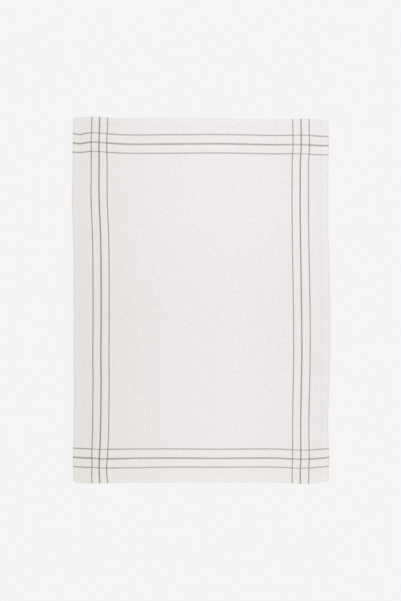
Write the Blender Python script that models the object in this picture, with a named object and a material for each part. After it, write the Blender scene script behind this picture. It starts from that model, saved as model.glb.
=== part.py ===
"""A flat tea towel of plain-woven cloth, hemmed on all four sides, lying face up.

The towel lies in the XY plane with its underside on z = 0. +Y runs along its length and +X across it.
Its edges and its woven bands were pulled a few millimetres out of true in hemming and washing, so a
point is first placed on the towel as it was cut, a true rectangle, and is then moved by that pull.
"""

import math
from collections import namedtuple

import bmesh
import bpy
import numpy as np

MM = 0.001

# The towel as it was cut and hemmed, before it was pulled out of true
WIDTH = 490.5 * MM
LENGTH = 700.0 * MM
HALF_WIDTH = WIDTH / 2
HALF_LENGTH = LENGTH / 2

# Thickness of the sheet, of a hem, which is the cloth turned under twice, and of two hems crossing
SHEET_THICK = 1.2 * MM
HEM_THICK = 2.2 * MM
CORNER_THICK = 2.7 * MM
HEM_WIDTH = 9.0 * MM
HEM_SLOPE = 1.4 * MM
CORNER_RADIUS = 4.0 * MM

# The folded edge is rounded: how far in it reaches full height, the share of its height at which it
# is widest, and how far in the flat underside begins
EDGE_ROUND = 1.5 * MM
EDGE_WIDEST_AT = 0.5
UNDERSIDE_INSET = 0.7 * MM

# Where the woven bands run: their middle lines, from the nearest edge
SIDE_BAND_IN = 52.5 * MM
END_BAND_IN = 47.8 * MM

# How far each line that runs the length of the towel is pulled to the right, in millimetres,
# at places counted from the towel's middle towards its top
SIDE_COLUMNS = ("along", "left_edge", "left_band", "right_band", "right_edge")
SIDE_PULL = (
    (350, 0.1, -2.3, -0.9, -0.9),
    (325, -1.1, -2.8, -0.5, -0.2),
    (300, -1.6, -3.7, -0.3, 0.2),
    (270, -1.8, -3.4, -1.9, -0.7),
    (235, -1.9, -3.6, -2.1, -0.9),
    (200, -3.0, -3.5, -2.3, -0.9),
    (165, -2.3, -2.3, -2.2, -0.9),
    (130, -0.9, -0.8, -1.8, -0.7),
    (95, 0.1, -0.1, -1.3, 0.7),
    (25, 0.2, 0.4, -0.2, 2.2),
    (-45, 0.5, 0.4, 0.7, 2.9),
    (-115, 0.3, -0.1, 0.8, 2.2),
    (-150, 0.5, 0.4, 0.1, 1.7),
    (-185, 0.5, 0.1, -0.6, 0.3),
    (-250, 0.2, -0.9, -1.4, -0.8),
    (-275, -0.2, -1.6, -1.2, 0.2),
    (-300, -1.1, -3.1, -1.1, 0.8),
    (-325, -0.6, -3.3, -2.0, 0.4),
    (-350, -0.1, -2.2, -2.0, -0.5),
)

# How far each line that runs across the towel is pulled towards its top, in millimetres,
# at places counted from the towel's middle to the right
END_COLUMNS = ("across", "bottom_edge", "bottom_band", "top_band", "top_edge")
END_PULL = (
    (-245, 0.6, 1.1, 0.7, 1.4),
    (-225, -1.6, -0.2, 1.0, 2.8),
    (-205, -1.6, -1.2, 2.4, 3.5),
    (-190, -1.3, -2.2, 1.9, 2.6),
    (-175, -1.2, -2.3, 0.6, 1.5),
    (-155, -0.3, -1.9, -0.8, 0.4),
    (-120, 0.0, -1.2, -1.8, 0.5),
    (-90, 0.0, -0.8, -1.6, 1.3),
    (-30, 0.6, -0.9, -1.3, 0.5),
    (30, 0.5, -1.4, -0.8, 0.0),
    (90, 0.4, -1.0, -1.7, -1.0),
    (145, 0.0, -1.0, -2.6, -2.3),
    (180, -1.7, -2.6, -2.3, -1.4),
    (200, -2.3, -3.0, -2.6, -0.3),
    (215, -1.5, -2.3, -3.7, -1.3),
    (230, 0.7, -1.2, -4.5, -3.0),
    (245, 2.0, -0.6, -4.7, -3.8),
)

# Soft ridges where the cloth doesn't lie quite flat: the middle of each, half its length and half
# its width, and its height, in millimetres, and how far it is turned from across the towel, in degrees
Ridge = namedtuple("Ridge", "across along half_length half_width height turn")
RIDGES = (
    Ridge(-188, 215, 120, 22, 0.5, 88),
    Ridge(-176, -30, 150, 26, 0.6, 93),
    Ridge(-120, -190, 170, 30, 0.5, 78),
    Ridge(40, 160, 190, 60, 0.4, 65),
    Ridge(150, -110, 150, 34, 0.4, 100),
    Ridge(-20, -297, 190, 18, 0.4, 2),
    Ridge(60, 296, 170, 18, 0.4, -1),
)
RIDGE_FALL = 2.0

# How far apart the mesh lines are in the open cloth, and where they lie in a hem
OPEN_STEP = 16.0 * MM
HEM_LINES = [inset * MM for inset in (0.0, 0.6, 1.5, 2.6, 4.0, 7.6, 9.0, 10.4)]
CREASED_ANGLE = math.radians(50)


def smooth_reader(places, values):
    """A smooth curve through the rows of a table, level beyond both ends, as a function of the place."""
    order = np.argsort(places)
    x = np.asarray(places, float)[order]
    y = np.asarray(values, float)[order]
    slope = np.gradient(y, x)

    def read(at):
        at = np.clip(at, x[0], x[-1])
        i = int(np.clip(np.searchsorted(x, at) - 1, 0, len(x) - 2))
        gap = x[i + 1] - x[i]
        f = (at - x[i]) / gap
        rise = y[i + 1] - y[i]
        start = slope[i] * gap
        end = slope[i + 1] * gap
        return y[i] + f * (start + f * (3 * rise - 2 * start - end + f * (start + end - 2 * rise)))

    return read


def pull_readers(columns, rows):
    """For each line named in the columns, its pull in metres as a smooth function of the place."""
    table = dict(zip(columns, np.array(rows, float).T * MM))
    places = table.pop(columns[0])
    return {line: smooth_reader(places, pulls) for line, pulls in table.items()}


SIDE_READERS = pull_readers(SIDE_COLUMNS, SIDE_PULL)
END_READERS = pull_readers(END_COLUMNS, END_PULL)
SIDE_LINES = {
    "left_edge": -HALF_WIDTH,
    "left_band": SIDE_BAND_IN - HALF_WIDTH,
    "right_band": HALF_WIDTH - SIDE_BAND_IN,
    "right_edge": HALF_WIDTH,
}
END_LINES = {
    "bottom_edge": -HALF_LENGTH,
    "bottom_band": END_BAND_IN - HALF_LENGTH,
    "top_band": HALF_LENGTH - END_BAND_IN,
    "top_edge": HALF_LENGTH,
}


def pull_at(place, lines, readers, along_them):
    """The pull at a place between the named lines, each read where the point lies along it."""
    pulls = [readers[line](along_them) for line in lines]
    return float(np.interp(place, list(lines.values()), pulls))


def pulled(across, along):
    """Where a point of the cut rectangle lies once the cloth has been pulled out of true."""
    sideways = pull_at(across, SIDE_LINES, SIDE_READERS, along)
    endways = pull_at(along, END_LINES, END_READERS, across)
    return across + sideways, along + endways


def corner_rounded(across, along):
    """Draws the points of a square corner in to a quarter circle."""
    a = abs(across) - (HALF_WIDTH - CORNER_RADIUS)
    b = abs(along) - (HALF_LENGTH - CORNER_RADIUS)
    if a <= 0 or b <= 0:
        return across, along
    shrink = max(a, b) / math.hypot(a, b)
    drawn_across = HALF_WIDTH - CORNER_RADIUS + a * shrink
    drawn_along = HALF_LENGTH - CORNER_RADIUS + b * shrink
    return math.copysign(drawn_across, across), math.copysign(drawn_along, along)


def hem_share(inset):
    """1 on a hem and 0 on the open cloth, for a distance from the edge."""
    f = (HEM_WIDTH + HEM_SLOPE / 2 - inset) / HEM_SLOPE
    f = min(max(f, 0.0), 1.0)
    return f * f * (3 - 2 * f)


def edge_share(inset):
    """How much of its full height the rounded edge has, for a distance from the edge."""
    short_of_full = 1 - min(inset / EDGE_ROUND, 1.0)
    return EDGE_WIDEST_AT + (1 - EDGE_WIDEST_AT) * math.sqrt(1 - short_of_full**2)


def ridge_height(across, along):
    """The height that the soft ridges add at a point."""
    height = 0.0
    for ridge in RIDGES:
        angle = math.radians(ridge.turn)
        from_across = across - ridge.across * MM
        from_along = along - ridge.along * MM
        lengthways = from_across * math.cos(angle) + from_along * math.sin(angle)
        crossways = from_along * math.cos(angle) - from_across * math.sin(angle)
        far = math.hypot(lengthways / (ridge.half_length * MM), crossways / (ridge.half_width * MM))
        height += ridge.height * MM * math.exp(-RIDGE_FALL * far**2)
    return height


def top_height(across, along):
    """The height of the upper side over a point of the cut rectangle."""
    side_inset = HALF_WIDTH - abs(across)
    end_inset = HALF_LENGTH - abs(along)
    side = hem_share(side_inset)
    end = hem_share(end_inset)
    hems = (HEM_THICK - SHEET_THICK) * max(side, end) + (CORNER_THICK - HEM_THICK) * side * end
    full = SHEET_THICK + hems + ridge_height(across, along)
    return full * edge_share(min(side_inset, end_inset))


def lines_over(half):
    """The mesh lines from one edge to the other: close together in the hems, even in the open cloth."""
    open_half = half - HEM_LINES[-1]
    count = 2 * round(open_half / OPEN_STEP)
    inner = np.linspace(-open_half, open_half, count + 1)
    outer = [d - half for d in HEM_LINES[:-1]]
    return outer + list(inner) + [-d for d in reversed(outer)]


def rim_of(grid):
    """The outermost entries of a grid, once round, anticlockwise from above."""
    bottom = [row[0] for row in grid]
    right = grid[-1][1:]
    top = [row[-1] for row in reversed(grid[:-1])]
    left = list(reversed(grid[0][1:-1]))
    return bottom + right + top + left


def top_point(across, along):
    """The point of the upper side over a point of the cut rectangle."""
    x, y = pulled(*corner_rounded(across, along))
    return x, y, top_height(across, along)


def foot_point(across, along):
    """Where the rounded edge at a point of the rim meets the surface below."""
    across, along = corner_rounded(across, along)
    inner_across = across * (1 - UNDERSIDE_INSET / HALF_WIDTH)
    inner_along = along * (1 - UNDERSIDE_INSET / HALF_LENGTH)
    x, y = pulled(inner_across, inner_along)
    return x, y, 0.0


def towel_mesh():
    """The closed mesh of the towel: an uneven upper side, a rounded folded edge and a flat underside."""
    form = bmesh.new()
    places = [[(across, along) for along in lines_over(HALF_LENGTH)] for across in lines_over(HALF_WIDTH)]
    grid = [[form.verts.new(top_point(*place)) for place in row] for row in places]
    for near, far in zip(grid, grid[1:]):
        for i in range(len(near) - 1):
            form.faces.new((near[i], far[i], far[i + 1], near[i + 1]))
    rim = rim_of(grid)
    foot = [form.verts.new(foot_point(*place)) for place in rim_of(places)]
    for i in range(len(rim)):
        after = (i + 1) % len(rim)
        form.faces.new((foot[i], foot[after], rim[after], rim[i]))
    form.faces.new(list(reversed(foot)))
    mesh = bpy.data.meshes.new("tea_towel")
    form.to_mesh(mesh)
    form.free()
    return mesh


def centred_on_origin(mesh):
    """Moves the mesh so that the origin is in the middle of its box, at the underside."""
    points = np.array([vertex.co for vertex in mesh.vertices])
    middle = (points.min(axis=0) + points.max(axis=0)) / 2
    for vertex in mesh.vertices:
        vertex.co.x -= middle[0]
        vertex.co.y -= middle[1]


def cloth_material():
    """Off-white woven cloth, dull all over."""
    material = bpy.data.materials.new("woven_cloth")
    material.use_nodes = True
    shader = material.node_tree.nodes["Principled BSDF"]
    shader.inputs["Base Color"].default_value = (0.80, 0.77, 0.75, 1.0)
    shader.inputs["Roughness"].default_value = 0.92
    shader.inputs["Metallic"].default_value = 0.0
    return material


def main():
    for thing in list(bpy.data.objects):
        bpy.data.objects.remove(thing, do_unlink=True)
    mesh = towel_mesh()
    centred_on_origin(mesh)
    mesh.materials.append(cloth_material())
    towel = bpy.data.objects.new("tea_towel", mesh)
    bpy.context.scene.collection.objects.link(towel)
    mesh.shade_smooth()
    mesh.set_sharp_from_angle(angle=CREASED_ANGLE)


main()
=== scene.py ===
"""The looks of a flat tea towel: plain-woven half-linen with grey stripes and narrow stitched hems."""

import math
from collections import namedtuple

import bpy
import numpy as np
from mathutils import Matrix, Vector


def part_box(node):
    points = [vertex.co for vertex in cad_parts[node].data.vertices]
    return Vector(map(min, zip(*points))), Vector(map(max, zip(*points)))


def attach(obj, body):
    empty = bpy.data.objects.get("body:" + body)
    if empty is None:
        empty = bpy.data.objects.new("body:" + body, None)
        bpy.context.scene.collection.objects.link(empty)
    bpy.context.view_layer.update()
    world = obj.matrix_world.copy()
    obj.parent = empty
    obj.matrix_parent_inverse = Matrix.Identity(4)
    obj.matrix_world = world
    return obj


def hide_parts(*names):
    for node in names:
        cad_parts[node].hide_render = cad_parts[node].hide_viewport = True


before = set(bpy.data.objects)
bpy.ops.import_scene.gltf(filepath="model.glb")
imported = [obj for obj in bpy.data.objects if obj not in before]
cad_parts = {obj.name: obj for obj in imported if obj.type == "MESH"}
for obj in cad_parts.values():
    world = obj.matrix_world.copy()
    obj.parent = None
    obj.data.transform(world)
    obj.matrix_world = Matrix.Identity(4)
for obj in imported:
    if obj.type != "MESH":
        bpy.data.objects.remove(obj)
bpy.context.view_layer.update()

CAD_LOW, CAD_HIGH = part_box("tea_towel")
MM = 0.001

# The straight towel: its hemmed size, before it was pulled out of true
HALF_WIDTH = 490.5 * MM / 2
HALF_LENGTH = 700.0 * MM / 2

# The cloth, and its hems, which are the cloth turned under twice: first the narrower part, which ends
# up out of sight inside the hem. Where two hems cross lie more layers.
LAYER_THICK = 0.6 * MM
SIDE_HEM_THICK = 1.8 * MM
END_HEM_THICK = 1.6 * MM
CORNER_THICK = 2.4 * MM
HEM_WIDTH = 9.0 * MM
CORNER_RADIUS = 2.8 * MM
# How wide the folded edges' rounding is, and how far a hem slopes down to the open cloth. Underneath,
# a hem ends in a step instead.
SIDE_EDGE_ROUND = 1.7 * MM
END_EDGE_ROUND = 1.0 * MM
SIDE_HEM_FALL = 9.0 * MM
END_HEM_FALL = 6.5 * MM
UNDER_STEP_IN = 8.9 * MM

# The seam that holds each hem down: how far in it runs, how deep and wide a groove it draws, and its
# sewing thread
SEAM_IN = 7.4 * MM
SEAM_DIP = 0.3 * MM
SEAM_DIP_WIDTH = 0.6 * MM
STITCH_STEP = 3.0 * MM
STITCH_LENGTH = 2.65 * MM
THREAD_RADIUS = 0.16 * MM

# How far in from the nearest edge the middle line of each woven band runs
SIDE_BAND_IN = 52.5 * MM
END_BAND_IN = 47.8 * MM

# How far each line that runs the length of the towel is pulled to the right, in millimetres,
# at places counted from the towel's middle towards its top
SIDE_COLUMNS = ("along", "left_edge", "left_band", "right_band", "right_edge")
SIDE_PULL = (
    (350, 0.1, -2.3, -0.9, -0.9),
    (325, -1.1, -2.8, -0.5, -0.2),
    (300, -1.6, -3.7, -0.3, 0.2),
    (270, -1.8, -3.4, -1.9, -0.7),
    (235, -1.9, -3.6, -2.1, -0.9),
    (200, -3.0, -3.5, -2.3, -0.9),
    (165, -2.3, -2.3, -2.2, -0.9),
    (130, -0.9, -0.8, -1.8, -0.7),
    (95, 0.1, -0.1, -1.3, 0.7),
    (25, 0.2, 0.4, -0.2, 2.2),
    (-45, 0.5, 0.4, 0.7, 2.9),
    (-115, 0.3, -0.1, 0.8, 2.2),
    (-150, 0.5, 0.4, 0.1, 1.7),
    (-185, 0.5, 0.1, -0.6, 0.3),
    (-250, 0.2, -0.9, -1.4, -0.8),
    (-275, -0.2, -1.6, -1.2, 0.2),
    (-300, -1.1, -3.1, -1.1, 0.8),
    (-325, -0.6, -3.3, -2.0, 0.4),
    (-350, -0.1, -2.2, -2.0, -0.5),
)

# How far each line that runs across the towel is pulled towards its top, in millimetres,
# at places counted from the towel's middle to the right
END_COLUMNS = ("across", "bottom_edge", "bottom_band", "top_band", "top_edge")
END_PULL = (
    (-245, 0.6, 1.1, 0.7, 1.4),
    (-225, -1.6, -0.2, 1.0, 2.8),
    (-205, -1.6, -1.2, 2.4, 3.5),
    (-190, -1.3, -2.2, 1.9, 2.6),
    (-175, -1.2, -2.3, 0.6, 1.5),
    (-155, -0.3, -1.9, -0.8, 0.4),
    (-120, 0.0, -1.2, -1.8, 0.5),
    (-90, 0.0, -0.8, -1.6, 1.3),
    (-30, 0.6, -0.9, -1.3, 0.5),
    (30, 0.5, -1.4, -0.8, 0.0),
    (90, 0.4, -1.0, -1.7, -1.0),
    (145, 0.0, -1.0, -2.6, -2.3),
    (180, -1.7, -2.6, -2.3, -1.4),
    (200, -2.3, -3.0, -2.6, -0.3),
    (215, -1.5, -2.3, -3.7, -1.3),
    (230, 0.7, -1.2, -4.5, -3.0),
    (245, 2.0, -0.6, -4.7, -3.8),
)

# Where the loom or a seam has drawn a stripe a little out of its band: the middle of the place, how
# far it reaches each way, and how far it is drawn to the right and towards the top, in millimetres
Tug = namedtuple("Tug", "across along reach_across reach_along sideways endways")
TUGS = (
    Tug(-232, 322, 8, 34, 0, -2.1),
    Tug(-178, 305, 8, 40, -0.8, 0),
    Tug(-100, 321, 60, 9, 0, -0.8),
    Tug(-155, -285, 32, 8, 0, 0.7),
    Tug(-209, -312, 8, 16, 1.3, 0),
    Tug(-178, -326, 8, 20, -1.6, 0),
    Tug(-125, -322, 52, 9, 0, -1.1),
    Tug(243, -308, 6, 24, 0, 1.5),
    Tug(-243, -350, 5, 12, 0, 1.4),
)

# Soft ridges where the cloth doesn't lie quite flat: the middle of each, half its length and half
# its width, and its height, in millimetres, and how far it is turned from across the towel, in degrees
Ridge = namedtuple("Ridge", "across along half_length half_width height turn")
RIDGES = (
    Ridge(-188, 215, 120, 22, 0.5, 88),
    Ridge(-176, -30, 150, 26, 0.6, 93),
    Ridge(-120, -190, 170, 30, 0.5, 78),
    Ridge(40, 160, 190, 60, 0.4, 65),
    Ridge(150, -110, 150, 34, 0.4, 100),
    Ridge(-20, -297, 190, 18, 0.4, 2),
    Ridge(60, 296, 170, 18, 0.4, -1),
)
# How fast a ridge falls off: at half its length or width it is down to about a seventh
RIDGE_FALL = 2.0

# Mesh lines: how far in from the edge they lie at a hem, in millimetres, and how far apart they are
# in the open cloth
HEM_LINES = (
    0, 0.06, 0.25, 0.55, 1, 1.7, 2.8, 4, 5.4, 6.6, 7, 7.4, 7.8, 8.3, 8.85,
    9, 9.7, 10.5, 11.4, 12.4, 13.5, 14.6, 15.6, 18,
)
OPEN_STEP = 4.0 * MM

# The square picture that the cloth is laid out in, to be painted into: the margin round the upper
# side, in millimetres, and the under side beside it: its scale, its gap from the upper side, and how
# far up
PICTURE_MARGIN = 1.0
UNDER_SCALE = 0.38
UNDER_GAP = 0.01
UNDER_UP = 0.3


# --- The cloth's shape ---------------------------------------------------------------------------


def smooth_reader(places, values):
    """A smooth curve through the rows of a table, level beyond both ends, as a function of places."""
    order = np.argsort(places)
    x = np.asarray(places, float)[order]
    y = np.asarray(values, float)[order]
    slope = np.gradient(y, x)

    def read(at):
        at = np.clip(at, x[0], x[-1])
        i = np.clip(np.searchsorted(x, at) - 1, 0, len(x) - 2)
        gap = x[i + 1] - x[i]
        f = (at - x[i]) / gap
        rise = y[i + 1] - y[i]
        start = slope[i] * gap
        end = slope[i + 1] * gap
        return y[i] + f * (start + f * (3 * rise - 2 * start - end + f * (start + end - 2 * rise)))

    return read


def pull_readers(columns, rows):
    """For each line named in the columns, its pull in metres as a smooth function of places."""
    table = dict(zip(columns, np.array(rows, float).T * MM))
    places = table.pop(columns[0])
    return {line: smooth_reader(places, pulls) for line, pulls in table.items()}


SIDE_READERS = pull_readers(SIDE_COLUMNS, SIDE_PULL)
END_READERS = pull_readers(END_COLUMNS, END_PULL)
SIDE_LINES = {
    "left_edge": -HALF_WIDTH,
    "left_band": SIDE_BAND_IN - HALF_WIDTH,
    "right_band": HALF_WIDTH - SIDE_BAND_IN,
    "right_edge": HALF_WIDTH,
}
END_LINES = {
    "bottom_edge": -HALF_LENGTH,
    "bottom_band": END_BAND_IN - HALF_LENGTH,
    "top_band": HALF_LENGTH - END_BAND_IN,
    "top_edge": HALF_LENGTH,
}


def pull_at(place, lines, readers, along_them):
    """The pull at places between the named lines, each read where the points lie along it."""
    stations = np.array(list(lines.values()))
    pulls = np.array([readers[line](along_them) for line in lines])
    i = np.clip(np.searchsorted(stations, place) - 1, 0, len(stations) - 2)
    f = (place - stations[i]) / (stations[i + 1] - stations[i])
    points = np.arange(len(place))
    return (1 - f) * pulls[i, points] + f * pulls[i + 1, points]


def pulled(across, along):
    """Where points of the straight towel lie once the cloth has been pulled out of true."""
    sideways = pull_at(across, SIDE_LINES, SIDE_READERS, along)
    endways = pull_at(along, END_LINES, END_READERS, across)
    for tug in TUGS:
        far_across = (across / MM - tug.across) / tug.reach_across
        far_along = (along / MM - tug.along) / tug.reach_along
        share = np.exp(-(far_across**2) - far_along**2)
        sideways = sideways + share * tug.sideways * MM
        endways = endways + share * tug.endways * MM
    return across + sideways, along + endways


def corner_rounded(across, along):
    """Draws the points of each square corner in to a quarter circle."""
    a = np.abs(across) - (HALF_WIDTH - CORNER_RADIUS)
    b = np.abs(along) - (HALF_LENGTH - CORNER_RADIUS)
    inside = (a > 0) & (b > 0)
    a = np.where(inside, a, 1.0)
    b = np.where(inside, b, 0.0)
    shrink = np.maximum(a, b) / np.hypot(a, b)
    drawn_across = np.sign(across) * (HALF_WIDTH - CORNER_RADIUS + a * shrink)
    drawn_along = np.sign(along) * (HALF_LENGTH - CORNER_RADIUS + b * shrink)
    return np.where(inside, drawn_across, across), np.where(inside, drawn_along, along)


def eased(f):
    """0 to 1 with soft ends."""
    f = np.clip(f, 0, 1)
    return f * f * (3 - 2 * f)


def hem_share(inset, fall):
    """1 on a hem and 0 on the open cloth, for distances from the edge."""
    return eased((HEM_WIDTH + fall - inset) / fall)


def ridge_height(across, along):
    """How far the soft ridges lift the cloth at each point."""
    height = np.zeros(len(across))
    for ridge in RIDGES:
        angle = math.radians(ridge.turn)
        from_across = across - ridge.across * MM
        from_along = along - ridge.along * MM
        lengthways = from_across * math.cos(angle) + from_along * math.sin(angle)
        crossways = from_along * math.cos(angle) - from_across * math.sin(angle)
        far = np.hypot(lengthways / (ridge.half_length * MM), crossways / (ridge.half_width * MM))
        height += ridge.height * MM * np.exp(-RIDGE_FALL * far**2)
    return height


def cloth_heights(across, along):
    """The heights of the upper and the under side of the cloth at points of the straight towel."""
    side_inset = HALF_WIDTH - np.abs(across)
    end_inset = HALF_LENGTH - np.abs(along)
    side = hem_share(side_inset, SIDE_HEM_FALL)
    end = hem_share(end_inset, END_HEM_FALL)
    # One layer, a side hem, an end hem, and both of them where they cross
    full = (1 - side) * (1 - end) * LAYER_THICK + side * end * CORNER_THICK
    full += side * (1 - end) * SIDE_HEM_THICK + end * (1 - side) * END_HEM_THICK
    seams = [np.exp(-(((inset - SEAM_IN) / SEAM_DIP_WIDTH) ** 2)) for inset in (side_inset, end_inset)]
    dip = SEAM_DIP * np.maximum(*seams)
    upper = full - dip + ridge_height(across, along) * (1 - side) * (1 - end)
    # Under a hem only the seam's groove is off the floor; the open cloth is one layer all over
    on_hem = np.minimum(side_inset, end_inset) < UNDER_STEP_IN
    under = np.where(on_hem, dip, np.maximum(upper - LAYER_THICK, 0))
    # The folded edges are half rounds
    bulge = 1.0
    for inset, rounding in ((side_inset, SIDE_EDGE_ROUND), (end_inset, END_EDGE_ROUND)):
        bulge = bulge * np.sqrt(1 - (1 - np.clip(inset / rounding, 0, 1)) ** 2)
    return full / 2 + (upper - full / 2) * bulge, full / 2 + (under - full / 2) * bulge


def lines_over(half):
    """The mesh lines from one edge to the other: close together at the hems, even in the open cloth."""
    hem_lines = np.array(HEM_LINES) * MM
    open_half = half - hem_lines[-1]
    count = 2 * round(open_half / OPEN_STEP)
    inner = np.linspace(-open_half, open_half, count + 1)
    outer = hem_lines[:-1] - half
    return np.concatenate([outer, inner, -outer[::-1]])


def centring_move():
    """How far the pulled outline moves, so that the middle of its box lies on that of the solid's."""
    crossways = lines_over(HALF_WIDTH)
    lengthways = lines_over(HALF_LENGTH)
    sides = np.repeat([-HALF_WIDTH, HALF_WIDTH], len(lengthways))
    ends = np.repeat([-HALF_LENGTH, HALF_LENGTH], len(crossways))
    across = np.concatenate([sides, np.tile(crossways, 2)])
    along = np.concatenate([np.tile(lengthways, 2), ends])
    outline = np.stack(pulled(*corner_rounded(across, along)), 1)
    middle = (outline.min(0) + outline.max(0)) / 2
    solid_middle = np.array((CAD_LOW + CAD_HIGH) / 2)[:2]
    return solid_middle - middle


CENTRING_MOVE = centring_move()


def placed(across, along, height):
    """Points of the cloth in the part's frame, from their places on the straight towel."""
    x, y = pulled(*corner_rounded(across, along))
    return np.stack([x + CENTRING_MOVE[0], y + CENTRING_MOVE[1], height], 1)


def cloth_piece():
    """The cloth as one closed sheet, with its hems as a thicker margin with rounded edges."""
    crossways = lines_over(HALF_WIDTH)
    lengthways = lines_over(HALF_LENGTH)
    across, along = (g.ravel() for g in np.meshgrid(crossways, lengthways, indexing="ij"))
    upper, under = cloth_heights(across, along)
    count = len(across)
    grid = np.arange(count).reshape(len(crossways), len(lengthways))
    on_rim = np.ones_like(grid, bool)
    on_rim[1:-1, 1:-1] = False
    inner = ~on_rim.ravel()
    # The under side shares the rim's points with the upper side
    below = np.where(inner, count + np.cumsum(inner) - 1, np.arange(count)).reshape(grid.shape)
    points = np.concatenate([placed(across, along, upper), placed(across, along, under)[inner]])
    facing_up = squares(grid)
    facing_down = squares(below)[:, ::-1]
    mesh = bpy.data.meshes.new("cloth")
    mesh.from_pydata(points.tolist(), [], np.concatenate([facing_up, facing_down]).tolist())
    corners = np.concatenate([facing_up, squares(grid)[:, ::-1]]).ravel()
    places = np.stack([across, along], 1)[corners] / MM
    add_map(mesh, "cloth_mm", places)
    add_map(mesh, "OFBake", bake_places(places, len(facing_up) * 4))
    mesh.uv_layers["cloth_mm"].active_render = True
    mesh.shade_smooth()
    return new_piece("cloth", mesh, half_linen())


def squares(grid):
    """The four-cornered faces between neighbouring points of a grid, facing up."""
    corners = (grid[:-1, :-1], grid[1:, :-1], grid[1:, 1:], grid[:-1, 1:])
    return np.stack([c.ravel() for c in corners], 1)


def add_map(mesh, name, places):
    """A named map of places over a mesh, one for each corner of each face."""
    mesh.uv_layers.new(name=name).data.foreach_set("uv", np.asarray(places, np.float32).ravel())


def bake_places(places, upper_corners):
    """Places in a square picture: the upper side over most of it, the under side small beside it."""
    half = np.array([HALF_WIDTH, HALF_LENGTH]) / MM
    span = 2 * (half[1] + PICTURE_MARGIN)
    square = (places + half + PICTURE_MARGIN) / span
    under_corner = [2 * half[0] / span + UNDER_GAP, UNDER_UP]
    square[upper_corners:] = square[upper_corners:] * UNDER_SCALE + under_corner
    return square


def new_piece(name, mesh, material):
    """A piece in the scene, made of one mesh and one material."""
    mesh.materials.append(material)
    piece = bpy.data.objects.new(name, mesh)
    bpy.context.scene.collection.objects.link(piece)
    return piece


# --- The sewing ----------------------------------------------------------------------------------

# How far the stitches stray from the seam's line: how much they are turned and moved sideways
STITCH_TURN = math.radians(3)
STITCH_STRAY = 0.04 * MM
STITCH_SEED = 5

STITCH_SIDES = 6
# Each ring of a stitch: how far along it, as a share of its length, its share of the thread's radius,
# and how far it stands above the cloth, in thread radii
StitchRing = namedtuple("StitchRing", "along girth above")
STITCH_RINGS = (
    StitchRing(-0.5, 0.5, -1.4),
    StitchRing(-0.44, 0.85, -0.3),
    StitchRing(-0.2, 1.0, 0.5),
    StitchRing(0.2, 1.0, 0.5),
    StitchRing(0.44, 0.85, -0.3),
    StitchRing(0.5, 0.5, -1.4),
)

# Each stitch is laid out in a small square of its own, with a margin: its sides, how high their
# middle lies and how much of the height they take, and its two ends below them, where across, how
# high, and how large
SQUARE_MARGIN = 0.06
SIDES_UP = 0.55
SIDES_HIGH = 0.8
ENDS_ACROSS = (0.25, 0.75)
ENDS_UP = 0.07
ENDS_RADIUS = 0.05


def seam_stitches():
    """The middle of each stitch on the straight towel, and the way it runs."""
    middles, ways = [], []
    for half, other_half, lengthways in (
        (HALF_LENGTH, HALF_WIDTH, True),
        (HALF_WIDTH, HALF_LENGTH, False),
    ):
        count = int((2 * half - 2 * SIDE_EDGE_ROUND) / STITCH_STEP)
        run = (np.arange(count) - (count - 1) / 2) * STITCH_STEP
        for side in (-1, 1):
            over = np.full(count, side * (other_half - SEAM_IN))
            middles.append(np.stack([over, run] if lengthways else [run, over], 1))
            ways.append(np.tile([0.0, 1.0] if lengthways else [1.0, 0.0], (count, 1)))
    return np.concatenate(middles), np.concatenate(ways)


def stitching_piece():
    """The lockstitches of the four seams, above and below, as one mesh of short arched threads."""
    rng = np.random.default_rng(STITCH_SEED)
    middles, ways = seam_stitches()
    count = len(middles)
    turn = rng.normal(0, STITCH_TURN, count)
    cross = np.stack([-ways[:, 1], ways[:, 0]], 1)
    run = ways * np.cos(turn)[:, None] + cross * np.sin(turn)[:, None]
    beside = np.stack([-run[:, 1], run[:, 0]], 1)
    middles = middles + cross * rng.normal(0, STITCH_STRAY, count)[:, None]
    above, below = [], []
    for ring in STITCH_RINGS:
        centre = middles + run * ring.along * STITCH_LENGTH
        upper, under = cloth_heights(*centre.T)
        for side in range(STITCH_SIDES):
            angle = 2 * math.pi * side / STITCH_SIDES
            across, along = (centre + beside * math.cos(angle) * ring.girth * THREAD_RADIUS).T
            rise = (ring.above + math.sin(angle) * ring.girth) * THREAD_RADIUS
            above.append(placed(across, along, upper + rise))
            below.append(placed(across, along, under - rise))
    points = np.concatenate([np.stack(above, 1), np.stack(below, 1)]).reshape(-1, 3)
    faces, places = stitch_faces()
    corner_count = STITCH_SIDES * len(STITCH_RINGS)
    starts = np.arange(2 * count) * corner_count
    # Below, the same rings are upside down, so their faces run the other way round
    all_faces = [
        [start + corner for corner in (face if k < count else face[::-1])]
        for k, start in enumerate(starts.tolist())
        for face in faces
    ]
    face_sizes = np.cumsum([0] + [len(face) for face in faces])
    flipped = np.concatenate([places[i:j][::-1] for i, j in zip(face_sizes, face_sizes[1:])])
    mesh = bpy.data.meshes.new("hem_stitching")
    mesh.from_pydata(points.tolist(), [], all_faces)
    stitch_places = np.stack([places] * count + [flipped] * count)
    add_map(mesh, "thread", stitch_places)
    add_map(mesh, "OFBake", cell_places(stitch_places))
    mesh.uv_layers["thread"].active_render = True
    mesh.shade_smooth()
    return new_piece("hem_stitching", mesh, polyester_thread())


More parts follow.
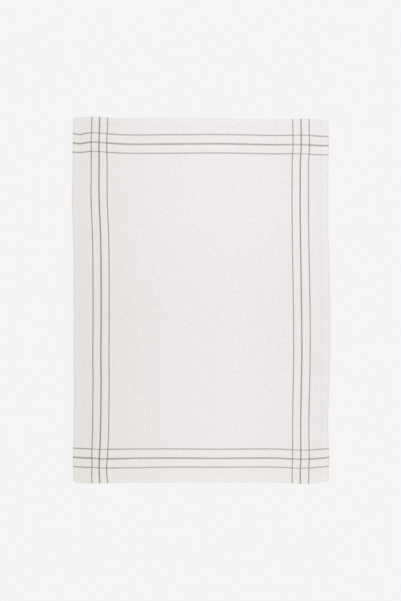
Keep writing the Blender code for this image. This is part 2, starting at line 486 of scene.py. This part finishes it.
def stitch_faces():
    """The faces of one closed stitch, and for each of their corners its place around and along it."""
    faces, places = [], []
    for r in range(len(STITCH_RINGS) - 1):
        near, far = r * STITCH_SIDES, (r + 1) * STITCH_SIDES
        for s in range(STITCH_SIDES):
            t = (s + 1) % STITCH_SIDES
            faces.append((near + s, near + t, far + t, far + s))
            for side, ring in ((s, r), (s + 1, r), (s + 1, r + 1), (s, r + 1)):
                places.append((side / STITCH_SIDES, SIDES_UP + SIDES_HIGH * STITCH_RINGS[ring].along))
    last = (len(STITCH_RINGS) - 1) * STITCH_SIDES
    sides = list(range(STITCH_SIDES))
    for start, order, middle in ((0, sides[::-1], ENDS_ACROSS[0]), (last, sides, ENDS_ACROSS[1])):
        faces.append(tuple(start + s for s in order))
        for s in order:
            angle = 2 * math.pi * s / STITCH_SIDES
            places.append(
                (middle + ENDS_RADIUS * math.cos(angle), ENDS_UP + ENDS_RADIUS * math.sin(angle))
            )
    return faces, np.array(places)


def cell_places(places):
    """The places of every stitch in one square picture, each stitch in a small square of its own."""
    squares_wide = math.ceil(math.sqrt(len(places)))
    index = np.arange(len(places))
    corner = np.stack([index % squares_wide, index // squares_wide], 1)
    return (corner[:, None, :] + SQUARE_MARGIN + (1 - 2 * SQUARE_MARGIN) * places) / squares_wide


# --- Materials -----------------------------------------------------------------------------------


def colour(code):
    """An sRGB hex code as linear red, green, blue and alpha."""
    parts = [int(code[i : i + 2], 16) / 255 for i in (1, 3, 5)]
    linear = [p / 12.92 if p <= 0.04045 else ((p + 0.055) / 1.055) ** 2.4 for p in parts]
    return (*linear, 1.0)


def add(tree, kind, inputs=(), output=0, **settings):
    """Adds a shader node with its settings, fills or links its inputs, and returns an output."""
    node = tree.nodes.new("ShaderNode" + kind)
    for name, value in settings.items():
        setattr(node, name, value)
    for name, value in dict(inputs).items():
        if isinstance(value, bpy.types.NodeSocket):
            tree.links.new(value, node.inputs[name])
        else:
            node.inputs[name].default_value = value
    return node.outputs[output] if node.outputs else None


def new_material(name):
    """A material and its node tree, empty."""
    material = bpy.data.materials.new(name)
    material.use_nodes = True
    material.node_tree.nodes.clear()
    return material, material.node_tree


# What a noise texture comes to on average
NOISE_MIDDLE = 0.5

# Half-linen, plain-woven from dyed yarn, white on white with grey stripes both ways, and washed.
# Linen yarn is thick and thin, so the eye sees a dull off-white with a fine uneven grain.
# The real yarns lie too close to show from where the whole towel is seen, so they are drawn four
# times as far apart. All lengths of the pattern are in millimetres.
YARN_STEP = 0.55
DRAWN_YARN_STEP = 4 * YARN_STEP
WHITE_YARN = "#e8e4e6"
GREY_YARN = "#7f7b78"
# White yarn beside the grey has taken a trace of its dye
WHITE_IN_BANDS = "#e8e4e4"
# How far the yarns wander from straight, and over what length
WANDER = 3.0
WANDER_LENGTH = 30.0

# In each band, a broad stripe along the middle line and a narrow one on either side of it: where the
# middle lines run, how far from them the narrow stripes lie, how wide the stripes are, how soft their
# edges are, and how far a band reaches beyond them. Where two values stand together, the first is
# for the bands along the sides and the second for those along the ends.
BAND_MIDDLES = ((HALF_WIDTH - SIDE_BAND_IN) / MM, (HALF_LENGTH - END_BAND_IN) / MM)
STRIPE_STEPS = (15.6, 17.6)
BROAD_STRIPES = (2.8, 3.3)
NARROW_STRIPES = (2.0, 2.3)
STRIPE_SOFTNESS = 0.5
BAND_MARGIN = 1.5

# A stripe's grey yarns run one way only, and the white yarns that cross them show between: how much
# of the stripe is grey, and how much more a grey yarn shows where it lies over a white one, and less
# where it lies under
WARP_GREY_COVER = 0.738
WEFT_GREY_COVER = 0.63
OVER_AND_UNDER = 0.12
# The side bands' warp is set closer, and hides part of the stripes that cross it
HIDDEN_IN_SIDE_BANDS = 0.27
# The grey dye has held unevenly along the stripes: how long a paler stretch is, and how much paler it
# can be. The grey is darker towards the left edge: from where, to where it is full, and how much.
DYE_LENGTH = 55.0
DYE_UNEVEN = 0.3
LEFT_GREY_FROM = -120.0
LEFT_GREY_TO = -235.0
LEFT_GREY_MORE = 0.19

# Uneven yarn: how long a thick stretch is and how much it counts beside the cloth's fine mottling,
# and the size of that mottling
SLUB_LENGTH = 26.0
SLUB_SHARE = 0.4
MOTTLE_SIZE = 7.0
# The tone of even cloth, how much the unevenness changes it, and how much lighter the yarns' crowns
# are painted than the gaps between them, as shading. How high the crowns stand, and how much the
# unevenness counts beside them.
EVEN_TONE = 0.993
UNEVEN_IN_TONE = 0.10
CROWN_SHADING_IN_TONE = 0.06
CROWN_HEIGHT = 0.4 * MM
UNEVEN_IN_HEIGHT = 0.5

# Painted shade: the cloth is painted a touch darker and warmer towards its left side and, less, its
# right side and its bottom, where the light falls off: which way, X across or Y along, where that
# starts and where it is full, how fast it grows, and how much red, green and blue is left where it is
# full
PaintedShadeTint = namedtuple("PaintedShadeTint", "way start full growth left")
PAINTED_SHADE_TINTS = (
    PaintedShadeTint("X", 75.0, -235.0, 2.0, (0.916, 0.913, 0.877)),
    PaintedShadeTint("X", 75.0, 245.0, 1.3, (0.975, 0.975, 0.967)),
    PaintedShadeTint("Y", 165.0, 0.0, 1.0, (0.9745, 0.9745, 0.9675)),
    PaintedShadeTint("Y", -270.0, -345.0, 1.0, (1.0, 1.0, 0.980)),
)
# The limits of these tints aren't straight: how far they drift, and over what length
TINT_DRIFT = 60.0
TINT_DRIFT_LENGTH = 120.0

# Three layers of cloth let less of the ground through, so a hem is lighter. Painted shade darkens its
# folded edge, where it rounds down to the table, and a painted highlight lightens the ridge beside its
# seam. How much lighter each of them is, how far in the painted shade reaches, how far in the ridge
# lies and half its width.
HEM_LIGHT = (0.010, 0.010)
# Painted shade on the folded edges, darker at the sides than at the ends
EDGE_PAINTED_SHADE = (-0.085, -0.040)
EDGE_SHADE_WIDTH = 1.6
# Painted highlight on the ridges beside the seams
RIDGE_PAINTED_HIGHLIGHT = (0.016, 0.004)
HIGHLIGHT_IN = 8.3
HIGHLIGHT_HALF_WIDTH = 1.3


def within(tree, distance, half_widths):
    """For both directions at once: 1 where the distance is under the half width, with a soft edge,
    and 0 for the third direction, which has no use here."""
    sharp = 1 / STRIPE_SOFTNESS
    limits = (*[half_width * sharp + 0.5 for half_width in half_widths], 0)
    share = add(
        tree, "VectorMath", {0: distance, 1: (-sharp,) * 3, 2: limits}, operation="MULTIPLY_ADD"
    )
    share = add(tree, "VectorMath", {0: share, 1: (1, 1, 1)}, operation="MINIMUM")
    return add(tree, "VectorMath", {0: share, 1: (0, 0, 0)}, operation="MAXIMUM")


def from_band_middles(tree, place):
    """For both directions at once, the distance to the middle line of the nearest band."""
    distance = add(tree, "VectorMath", {0: place}, operation="ABSOLUTE")
    distance = add(tree, "VectorMath", {0: distance, 1: (*BAND_MIDDLES, 0)}, operation="SUBTRACT")
    return add(tree, "VectorMath", {0: distance}, operation="ABSOLUTE")


def in_bands(tree, from_middle):
    """For both directions at once, 1 in a band and 0 beside it."""
    return within(tree, from_middle, [step + BAND_MARGIN for step in STRIPE_STEPS])


def dye_strength(tree, place):
    """How strong the grey yarn is, around 1: unevenly dyed, and darker towards the left edge."""
    strength = add(tree, "TexNoise", {"Vector": place, "Scale": 1 / DYE_LENGTH, "Detail": 1.0})
    strength = add(
        tree, "Math", {0: strength, 1: DYE_UNEVEN, 2: 1 - DYE_UNEVEN / 2}, operation="MULTIPLY_ADD"
    )
    across = add(tree, "SeparateXYZ", {0: place}, output="X")
    more = add(
        tree, "MapRange",
        {"Value": across, "From Min": LEFT_GREY_FROM, "From Max": LEFT_GREY_TO, "To Max": LEFT_GREY_MORE},
        interpolation_type="SMOOTHSTEP",
    )
    return add(tree, "Math", {0: strength, 1: more}, operation="ADD")


def grey_share(tree, place, from_middle, crossing):
    """How much grey yarn shows, from none at 0 to all at 1."""
    from_narrow = add(
        tree, "VectorMath", {0: from_middle, 1: (*STRIPE_STEPS, 0)}, operation="SUBTRACT"
    )
    from_narrow = add(tree, "VectorMath", {0: from_narrow}, operation="ABSOLUTE")
    broad = within(tree, from_middle, [width / 2 for width in BROAD_STRIPES])
    narrow = within(tree, from_narrow, [width / 2 for width in NARROW_STRIPES])
    stripes = add(tree, "VectorMath", {0: broad, 1: narrow}, operation="MAXIMUM")
    warp, weft = (add(tree, "SeparateXYZ", {0: stripes}, output=way) for way in "XY")
    side_band = add(tree, "SeparateXYZ", {0: in_bands(tree, from_middle)}, output="X")
    warp_cover = add(
        tree, "Math", {0: crossing, 1: OVER_AND_UNDER, 2: WARP_GREY_COVER}, operation="MULTIPLY_ADD"
    )
    weft_cover = add(
        tree, "Math",
        {0: side_band, 1: -HIDDEN_IN_SIDE_BANDS * WEFT_GREY_COVER, 2: WEFT_GREY_COVER},
        operation="MULTIPLY_ADD",
    )
    weft_cover = add(
        tree, "Math", {0: crossing, 1: -OVER_AND_UNDER, 2: weft_cover}, operation="MULTIPLY_ADD"
    )
    white = 1.0
    for stripe, cover in ((warp, warp_cover), (weft, weft_cover)):
        hidden = add(tree, "Math", {0: stripe, 1: cover}, operation="MULTIPLY")
        left = add(tree, "Math", {0: 1.0, 1: hidden}, operation="SUBTRACT")
        white = add(tree, "Math", {0: white, 1: left}, operation="MULTIPLY")
    grey = add(tree, "Math", {0: 1.0, 1: white}, operation="SUBTRACT")
    return add(tree, "Math", {0: grey, 1: dye_strength(tree, place)}, operation="MULTIPLY")


def white_yarn(tree, from_middle):
    """The colour of the white yarn, which in the bands has taken a trace of the grey yarn's dye."""
    bands = in_bands(tree, from_middle)
    share = add(tree, "VectorMath", {0: bands, 1: (1, 1, 0)}, operation="DOT_PRODUCT", output="Value")
    return add(
        tree, "MixRGB",
        {"Fac": share, "Color1": colour(WHITE_YARN), "Color2": colour(WHITE_IN_BANDS)},
    )


def weave(tree, place):
    """The drawn yarns, each over one, under one: how high they stand, from the gaps at 0 to the
    crowns at 1, and which lies above, from -1 for the weft to 1 for the warp."""
    wander = add(
        tree, "TexNoise", {"Vector": place, "Scale": 1 / WANDER_LENGTH, "Detail": 1.0}, output="Color"
    )
    waves = add(tree, "VectorMath", {0: wander, 1: (WANDER,) * 3, 2: place}, operation="MULTIPLY_ADD")
    turn = math.pi / DRAWN_YARN_STEP
    waves = add(tree, "VectorMath", {0: waves, 1: (turn, turn, 0)}, operation="MULTIPLY")
    waves = add(tree, "VectorMath", {0: waves}, operation="SINE")
    rounds = add(tree, "VectorMath", {0: waves}, operation="ABSOLUTE")
    warp_wave, weft_wave = (add(tree, "SeparateXYZ", {0: waves}, output=way) for way in "XY")
    warp_round, weft_round = (add(tree, "SeparateXYZ", {0: rounds}, output=way) for way in "XY")
    crossing = add(tree, "Math", {0: warp_wave, 1: weft_wave}, operation="MULTIPLY")
    warp = add(tree, "Math", {0: warp_round, 1: crossing}, operation="ADD")
    weft = add(tree, "Math", {0: weft_round, 1: crossing}, operation="SUBTRACT")
    higher = add(tree, "Math", {0: warp, 1: weft}, operation="MAXIMUM")
    # A crown comes to 2: 1 for the yarn's own round, and 1 more where it lies over the other
    return add(tree, "Math", {0: higher, 1: 2.0}, operation="DIVIDE"), crossing


def yarn_unevenness(tree, place):
    """Thick and thin stretches of yarn both ways, with a finer mottling, around 0."""
    noises = []
    for across, along in (
        (DRAWN_YARN_STEP, SLUB_LENGTH),
        (SLUB_LENGTH, DRAWN_YARN_STEP),
        (MOTTLE_SIZE, MOTTLE_SIZE),
    ):
        drawn = add(tree, "VectorMath", {0: place, 1: (1 / across, 1 / along, 0)}, operation="MULTIPLY")
        noises.append(add(tree, "TexNoise", {"Vector": drawn, "Scale": 1.0, "Detail": 1.0}))
    warp_slubs, weft_slubs, mottle = noises
    slubs = add(tree, "Math", {0: warp_slubs, 1: weft_slubs}, operation="ADD")
    uneven = add(tree, "Math", {0: slubs, 1: SLUB_SHARE, 2: mottle}, operation="MULTIPLY_ADD")
    average = 2 * NOISE_MIDDLE * SLUB_SHARE + NOISE_MIDDLE
    return add(tree, "Math", {0: uneven, 1: average}, operation="SUBTRACT")


def with_painted_shade(tree, place, ground):
    """The ground with the painted shade: darker and warmer towards the sides and the bottom."""
    drift = add(
        tree, "TexNoise",
        {"Vector": place, "Scale": 1 / TINT_DRIFT_LENGTH, "Detail": 1.0}, output="Color",
    )
    drift = add(tree, "VectorMath", {0: drift, 1: (NOISE_MIDDLE,) * 3}, operation="SUBTRACT")
    drifted = add(
        tree, "VectorMath", {0: drift, 1: (TINT_DRIFT,) * 3, 2: place}, operation="MULTIPLY_ADD"
    )
    # Each tint is painted shade, where the light falls off
    for shade_tint in PAINTED_SHADE_TINTS:
        share = add(
            tree, "MapRange",
            {
                "Value": add(tree, "SeparateXYZ", {0: drifted}, output=shade_tint.way),
                "From Min": shade_tint.start,
                "From Max": shade_tint.full,
            },
        )
        share = add(tree, "Math", {0: share, 1: shade_tint.growth}, operation="POWER")
        ground = add(
            tree, "MixRGB",
            {"Fac": share, "Color1": ground, "Color2": (*shade_tint.left, 1)},
            blend_type="MULTIPLY",
        )
    return ground


def hem_tone_and_painted_light(tree, place):
    """The tone of the hems, with painted shade on their folded edges and a painted highlight on the
    ridges beside their seams, where the open cloth is 1."""
    half = (HALF_WIDTH / MM, HALF_LENGTH / MM, 0)
    inset = add(tree, "VectorMath", {0: place}, operation="ABSOLUTE")
    inset = add(tree, "VectorMath", {0: half, 1: inset}, operation="SUBTRACT")
    from_ridge = add(tree, "VectorMath", {0: inset, 1: (HIGHLIGHT_IN,) * 3}, operation="SUBTRACT")
    from_ridge = add(tree, "VectorMath", {0: from_ridge}, operation="ABSOLUTE")
    tone = 1.0
    for distance, reach, light in (
        (inset, HEM_WIDTH / MM, HEM_LIGHT),
        # Painted highlight on the ridge beside the seam
        (from_ridge, HIGHLIGHT_HALF_WIDTH, RIDGE_PAINTED_HIGHLIGHT),
        # Painted shade on the folded edge
        (inset, EDGE_SHADE_WIDTH, EDGE_PAINTED_SHADE),
    ):
        share = within(tree, distance, (reach, reach))
        more = add(
            tree, "VectorMath", {0: share, 1: (*light, 0)}, operation="DOT_PRODUCT", output="Value"
        )
        tone = add(tree, "Math", {0: tone, 1: more}, operation="ADD")
    return tone


def half_linen():
    """The cloth of the towel: woven yarns, grey stripes, painted shade towards its sides and bottom,
    hems with a painted dark edge and highlight, and a fine uneven grain.
    """
    material, tree = new_material("half_linen_plain_weave")
    place = add(tree, "UVMap", uv_map="cloth_mm")
    from_middle = from_band_middles(tree, place)
    crowns, crossing = weave(tree, place)
    grey = grey_share(tree, place, from_middle, crossing)
    white = white_yarn(tree, from_middle)
    uneven = yarn_unevenness(tree, place)
    ground = add(tree, "MixRGB", {"Fac": grey, "Color1": white, "Color2": colour(GREY_YARN)})
    # Painted shade: darker and warmer towards the left side and, less, the right side and the bottom
    ground = with_painted_shade(tree, place, ground)
    tone = add(tree, "Math", {0: uneven, 1: UNEVEN_IN_TONE, 2: EVEN_TONE}, operation="MULTIPLY_ADD")
    # Painted shading: the yarns' crowns lighter than the gaps between them
    tone = add(tree, "Math", {0: crowns, 1: CROWN_SHADING_IN_TONE, 2: tone}, operation="MULTIPLY_ADD")
    # The hems' tone, with painted shade on their edges and a painted highlight beside their seams
    tone = add(tree, "Math", {0: tone, 1: hem_tone_and_painted_light(tree, place)}, operation="MULTIPLY")
    toned = add(tree, "VectorMath", {0: ground, 3: tone}, operation="SCALE")
    height = add(tree, "Math", {0: uneven, 1: UNEVEN_IN_HEIGHT, 2: crowns}, operation="MULTIPLY_ADD")
    bump = add(tree, "Bump", {"Strength": 0.7, "Distance": CROWN_HEIGHT, "Height": height})
    surface = add(
        tree, "BsdfPrincipled",
        {
            "Base Color": toned,
            "Normal": bump,
            "Roughness": 0.92,
            "Specular IOR Level": 0.25,
            "Sheen Weight": 0.12,
            "Sheen Roughness": 0.6,
        },
    )
    add(tree, "OutputMaterial", {"Surface": surface})
    return material


# Polyester sewing thread, spun and twisted: whiter than the cloth, with a slight silky gloss.
# Its plies are too fine to show, so they are drawn three times as far apart, in millimetres.
# Painted shading of the plies: darker in the hollows between them, lighter on their crowns
SHADED_PLY_HOLLOWS = "#e9e6e3"
LIT_PLY_CROWNS = "#f8f6f3"
PLY_STEP = 0.58
DRAWN_PLY_STEP = 3 * PLY_STEP
# The step of the wave texture's slanting bands, at a scale of 1
WAVE_STEP = math.pi / 5


def polyester_thread():
    """The thread of the stitches, with its plies winding round it, painted lighter on their crowns and
    darker in the hollows between them as shading.
    """
    material, tree = new_material("polyester_thread_twisted")
    place = add(tree, "UVMap", uv_map="thread")
    step = DRAWN_PLY_STEP * MM / STITCH_LENGTH * SIDES_HIGH
    twist = add(
        tree, "TexWave",
        {"Vector": place, "Scale": WAVE_STEP / step, "Distortion": 0.4},
        bands_direction="DIAGONAL",
    )
    # Painted shading: darker ply hollows and lighter ply crowns
    shaded_plies = add(
        tree, "MixRGB",
        {"Fac": twist, "Color1": colour(SHADED_PLY_HOLLOWS), "Color2": colour(LIT_PLY_CROWNS)},
    )
    surface = add(tree, "BsdfPrincipled", {"Base Color": shaded_plies, "Roughness": 0.55})
    add(tree, "OutputMaterial", {"Surface": surface})
    return material


# Opal white acrylic, cast and matt, lit a little from below, so that what lies on it casts only a
# faint shadow: the eye sees a plain, even, pale ground
ACRYLIC = "#bebebe"
LIT_FROM_BELOW = 0.362


def opal_acrylic():
    """The table top."""
    material, tree = new_material("opal_acrylic_cast_matt")
    surface = add(
        tree, "BsdfPrincipled",
        {
            "Base Color": colour(ACRYLIC),
            "Roughness": 0.9,
            "Specular IOR Level": 0.0,
            "Emission Color": colour("#ffffff"),
            "Emission Strength": LIT_FROM_BELOW,
        },
    )
    add(tree, "OutputMaterial", {"Surface": surface})
    return material


# --- Floor, light and camera ---------------------------------------------------------------------

# The table top reaches far out on every side, and lies only just below the towel
FLOOR_HALF = 30.0
FLOOR_BELOW = 0.02 * MM

# The surround is as bright as the table top low down, so that no horizon shows, and darker overhead.
# How high up it starts to darken and where it has done so, from 0 at the horizon to 1 straight above.
LOW_BRIGHTNESS = 0.913
TOP_BRIGHTNESS = 0.668
DARKER_FROM = 0.12
DARKER_TO = 0.45

# The lamp: how strong it is, how broad, how far it is tilted from straight above, and to which side
LAMP_STRENGTH = 1.22
LAMP_BREADTH = math.radians(30)
LAMP_TILT = math.radians(9)
LAMP_TURN = math.radians(115)

# The photograph's frame in its own pixels: its size, where the towel's middle is, and its scale
PHOTO_WIDE_PX = 401
PHOTO_HIGH_PX = 601
TOWEL_MIDDLE_X_PX = 201.1
TOWEL_MIDDLE_Y_PX = 300.2
MM_PER_PX = 1.9236
# How high above the table top the camera stands, and its sensor, which spans the frame's longer side
CAMERA_HEIGHT = 2.4
SENSOR_MM = 36.0


def floor_piece():
    """The table top, as one flat square."""
    mesh = bpy.data.meshes.new("floor")
    corners = [(-1, -1), (1, -1), (1, 1), (-1, 1)]
    points = [(x * FLOOR_HALF, y * FLOOR_HALF, -FLOOR_BELOW) for x, y in corners]
    mesh.from_pydata(points, [], [(0, 1, 2, 3)])
    return new_piece("floor", mesh, opal_acrylic())


def light_scene():
    """An even pale surround, and one broad soft lamp from above, a little to the right and the top."""
    world = bpy.data.worlds.new("studio")
    world.use_nodes = True
    tree = world.node_tree
    tree.nodes.clear()
    way = add(tree, "TexCoord", output="Generated")
    rise = add(tree, "SeparateXYZ", {0: way}, output="Z")
    brightness = add(
        tree, "MapRange",
        {
            "Value": rise,
            "From Min": DARKER_FROM,
            "From Max": DARKER_TO,
            "To Min": LOW_BRIGHTNESS,
            "To Max": TOP_BRIGHTNESS,
        },
        interpolation_type="SMOOTHSTEP",
    )
    surround = add(tree, "Background", {"Color": colour("#ffffff"), "Strength": brightness})
    add(tree, "OutputWorld", {"Surface": surround})
    bpy.context.scene.world = world
    light = bpy.data.lights.new("lamp", "SUN")
    light.energy = LAMP_STRENGTH
    light.angle = LAMP_BREADTH
    lamp = bpy.data.objects.new("lamp", light)
    lamp.rotation_euler = (LAMP_TILT, 0, LAMP_TURN)
    bpy.context.scene.collection.objects.link(lamp)


def photo_camera():
    """Straight above, framed as the photograph is."""
    data = bpy.data.cameras.new("photo_camera")
    data.sensor_width = SENSOR_MM
    data.lens = SENSOR_MM * CAMERA_HEIGHT / (PHOTO_HIGH_PX * MM_PER_PX * MM)
    camera = bpy.data.objects.new("photo_camera", data)
    right_of_middle = (PHOTO_WIDE_PX / 2 - TOWEL_MIDDLE_X_PX) * MM_PER_PX * MM
    above_middle = (TOWEL_MIDDLE_Y_PX - PHOTO_HIGH_PX / 2) * MM_PER_PX * MM
    camera.location = (right_of_middle, above_middle, CAMERA_HEIGHT)
    bpy.context.scene.collection.objects.link(camera)
    bpy.context.scene.camera = camera


# --- The scene -----------------------------------------------------------------------------------

photo_camera()
light_scene()
floor_piece()
# Colours reach the picture as they are, with no film look over them
bpy.context.scene.view_settings.view_transform = "Standard"

cloth = cloth_piece()
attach(cloth, "root")
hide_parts("tea_towel")

stitching = stitching_piece()
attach(stitching, "root")
